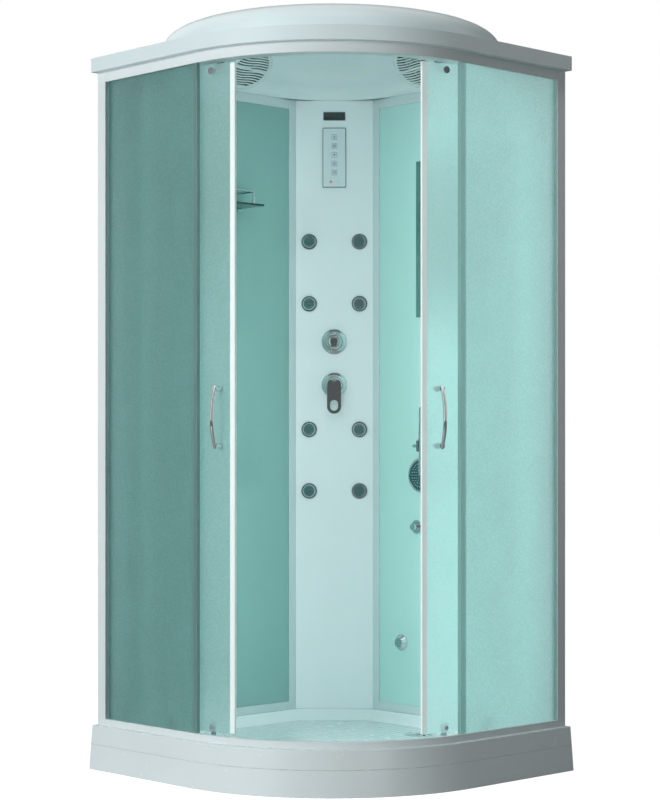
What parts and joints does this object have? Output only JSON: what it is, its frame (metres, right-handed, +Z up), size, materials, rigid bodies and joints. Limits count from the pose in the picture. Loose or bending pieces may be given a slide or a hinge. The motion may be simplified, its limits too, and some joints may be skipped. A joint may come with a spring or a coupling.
{
  "type": "steam shower cabin",
  "caption": "Corner steam shower cabin with a domed roof, curved frosted sliding doors, a column of swivelling jets, a mixer and a moulded tray.",
  "frame": {"origin": "middle of the footprint, on the floor", "axes": "+Z up, the doorway faces -Y, the room's corner points to +Y, +X is the right side seen from the front"},
  "size_m": [1.4312, 1.1982, 2.2],
  "materials": {
    "acrylic": "glossy white moulded acrylic",
    "white_frame": "white powder coat on aluminium",
    "wall_bars": "pale grey coated aluminium",
    "frosted_glass": "toughened glass with a frosted grain",
    "wall_glass": "back-painted mint glass",
    "clear_glass": "clear glass with green edges",
    "mirror_glass": "silvered mirror",
    "chrome": "polished chrome plate",
    "seal": "flexible white profile",
    "brass": "cast and turned brass",
    "pipe": "white pressure pipe",
    "steel": "galvanised or stainless steel",
    "black_plastic": "black moulded plastic",
    "grille": "pale moulded plastic",
    "display": "glossy control panel",
    "badge": "bare dark plate",
    "nozzle": "smoked chrome spray face",
    "nylon": "nylon wheel",
    "drain_grey": "grey waste fitting"
  },
  "bodies": {
    "cabin": {"tray": "acrylic", "tray_frame": "steel", "tray_feet": "steel", "drain_trap": "drain_grey", "bottom_rail": "white_frame", "top_rail": "white_frame", "left_post": "white_frame", "right_post": "white_frame", "left_fixed_glass": "frosted_glass", "right_fixed_glass": "frosted_glass", "fixed_glass_seals": "seal", "left_wall_frame": "wall_bars", "right_wall_frame": "wall_bars", "left_wall_glass": "wall_glass", "right_wall_glass": "wall_glass", "column_panel": "acrylic", "roof_shell": "acrylic", "ceiling_grilles": "grille", "speaker": "black_plastic", "fan_housing": "black_plastic", "control_panel": "display", "badge_plate": "badge", "mixer_plate": "chrome", "diverter_plate": "chrome", "valve_bodies": "brass", "jet_sockets": "chrome", "water_pipes": "pipe", "steam_generator": "steel", "steam_outlet": "chrome", "shelf_glass": "clear_glass", "shelf_rail": "chrome", "mirror": "mirror_glass", "mirror_clips": "chrome", "handset_holder": "chrome"},
    "left_door": {"left_door_glass": "frosted_glass", "left_door_seals": "seal", "left_handle": "chrome", "left_door_carriers": "steel"},
    "right_door": {"right_door_glass": "frosted_glass", "right_door_seals": "seal", "right_handle": "chrome", "right_door_carriers": "steel"},
    "left_front_roller": {"left_front_wheel": "nylon"},
    "left_rear_roller": {"left_rear_wheel": "nylon"},
    "right_front_roller": {"right_front_wheel": "nylon"},
    "right_rear_roller": {"right_rear_wheel": "nylon"},
    "mixer": {"mixer_cap": "chrome"},
    "lever": {"mixer_lever": "chrome"},
    "diverter": {"diverter_knob": "chrome"},
    "hand_shower": {"handset": "chrome"},
    "fan": {"fan_impeller": "black_plastic"},
    "cover": {"drain_cover": "chrome"},
    "jet_1": {"jet_nozzle_1": "nozzle"},
    "jet_2": {"jet_nozzle_2": "nozzle"},
    "jet_3": {"jet_nozzle_3": "nozzle"},
    "jet_4": {"jet_nozzle_4": "nozzle"},
    "jet_5": {"jet_nozzle_5": "nozzle"},
    "jet_6": {"jet_nozzle_6": "nozzle"},
    "jet_7": {"jet_nozzle_7": "nozzle"},
    "jet_8": {"jet_nozzle_8": "nozzle"}
  },
  "joints": [
    {"name": "left_door_slide", "type": "hinge", "parent": "cabin", "child": "left_door", "pos_m": [0.09894, 0.17016, 0], "axis": [0, 0, 1], "range_deg": [0, 22.33]},
    {"name": "left_front_roller_spin", "type": "hinge", "parent": "left_door", "child": "left_front_roller", "pos_m": [-0.31994, -0.39233, 2.0492], "axis": [-0.52, -0.8542, 0], "range_deg": [-1760, 0]},
    {"name": "left_rear_roller_spin", "type": "hinge", "parent": "left_door", "child": "left_rear_roller", "pos_m": [-0.47821, -0.23498, 2.0492], "axis": [-0.8511, -0.525, 0], "range_deg": [-1760, 0]},
    {"name": "right_door_slide", "type": "hinge", "parent": "cabin", "child": "right_door", "pos_m": [-0.09894, 0.17016, 0], "axis": [0, 0, -1], "range_deg": [0, 22.33]},
    {"name": "right_front_roller_spin", "type": "hinge", "parent": "right_door", "child": "right_front_roller", "pos_m": [0.31994, -0.39233, 2.0492], "axis": [0.52, -0.8542, 0], "range_deg": [0, 1760]},
    {"name": "right_rear_roller_spin", "type": "hinge", "parent": "right_door", "child": "right_rear_roller", "pos_m": [0.47821, -0.23498, 2.0492], "axis": [0.8511, -0.525, 0], "range_deg": [0, 1760]},
    {"name": "mixer_turn", "type": "hinge", "parent": "cabin", "child": "mixer", "pos_m": [0, 0.4332, 1.151], "axis": [0, -1, 0], "range_deg": [-45, 45]},
    {"name": "lever_lift", "type": "hinge", "parent": "mixer", "child": "lever", "pos_m": [0, 0.3922, 1.165], "axis": [-1, 0, 0], "range_deg": [0, 25]},
    {"name": "diverter_turn", "type": "hinge", "parent": "cabin", "child": "diverter", "pos_m": [0, 0.4332, 1.291], "axis": [0, -1, 0], "range_deg": [-90, 90]},
    {"name": "jet_1_tilt", "type": "hinge", "parent": "cabin", "child": "jet_1", "pos_m": [-0.081, 0.4302, 1.613], "axis": [-1, 0, 0], "range_deg": [-32, 8]},
    {"name": "jet_2_tilt", "type": "hinge", "parent": "cabin", "child": "jet_2", "pos_m": [0.081, 0.4302, 1.613], "axis": [-1, 0, 0], "range_deg": [-22, 18]},
    {"name": "jet_3_tilt", "type": "hinge", "parent": "cabin", "child": "jet_3", "pos_m": [-0.081, 0.4302, 1.413], "axis": [-1, 0, 0], "range_deg": [-28, 12]},
    {"name": "jet_4_tilt", "type": "hinge", "parent": "cabin", "child": "jet_4", "pos_m": [0.081, 0.4302, 1.413], "axis": [-1, 0, 0], "range_deg": [-10, 30]},
    {"name": "jet_5_tilt", "type": "hinge", "parent": "cabin", "child": "jet_5", "pos_m": [-0.081, 0.4302, 1.008], "axis": [-1, 0, 0], "range_deg": [-22, 18]},
    {"name": "jet_6_tilt", "type": "hinge", "parent": "cabin", "child": "jet_6", "pos_m": [0.081, 0.4302, 1.008], "axis": [-1, 0, 0], "range_deg": [-12, 28]},
    {"name": "jet_7_tilt", "type": "hinge", "parent": "cabin", "child": "jet_7", "pos_m": [-0.081, 0.4302, 0.81], "axis": [-1, 0, 0], "range_deg": [-20, 20]},
    {"name": "jet_8_tilt", "type": "hinge", "parent": "cabin", "child": "jet_8", "pos_m": [0.081, 0.4302, 0.81], "axis": [-1, 0, 0], "range_deg": [-28, 12]},
    {"name": "handset_pull", "type": "slide", "parent": "cabin", "child": "hand_shower", "axis": [-0.7071, -0.7071, 0], "range_m": [0, 0.08]},
    {"name": "fan_spin", "type": "hinge", "parent": "cabin", "child": "fan", "pos_m": [0.253, 0.1802, 2.122], "axis": [-0.5, -0.5, -0.7071], "continuous": true},
    {"name": "drain_cover_lift", "type": "slide", "parent": "cabin", "child": "cover", "axis": [0, 0, 1], "range_m": [0, 0.03]}
  ],
  "couplings": [
    {"joint": "left_front_roller_spin", "follows": "left_door_slide", "ratio": -77.925},
    {"joint": "left_rear_roller_spin", "follows": "left_door_slide", "ratio": -78.35},
    {"joint": "right_front_roller_spin", "follows": "right_door_slide", "ratio": 77.925},
    {"joint": "right_rear_roller_spin", "follows": "right_door_slide", "ratio": 78.35}
  ]
}
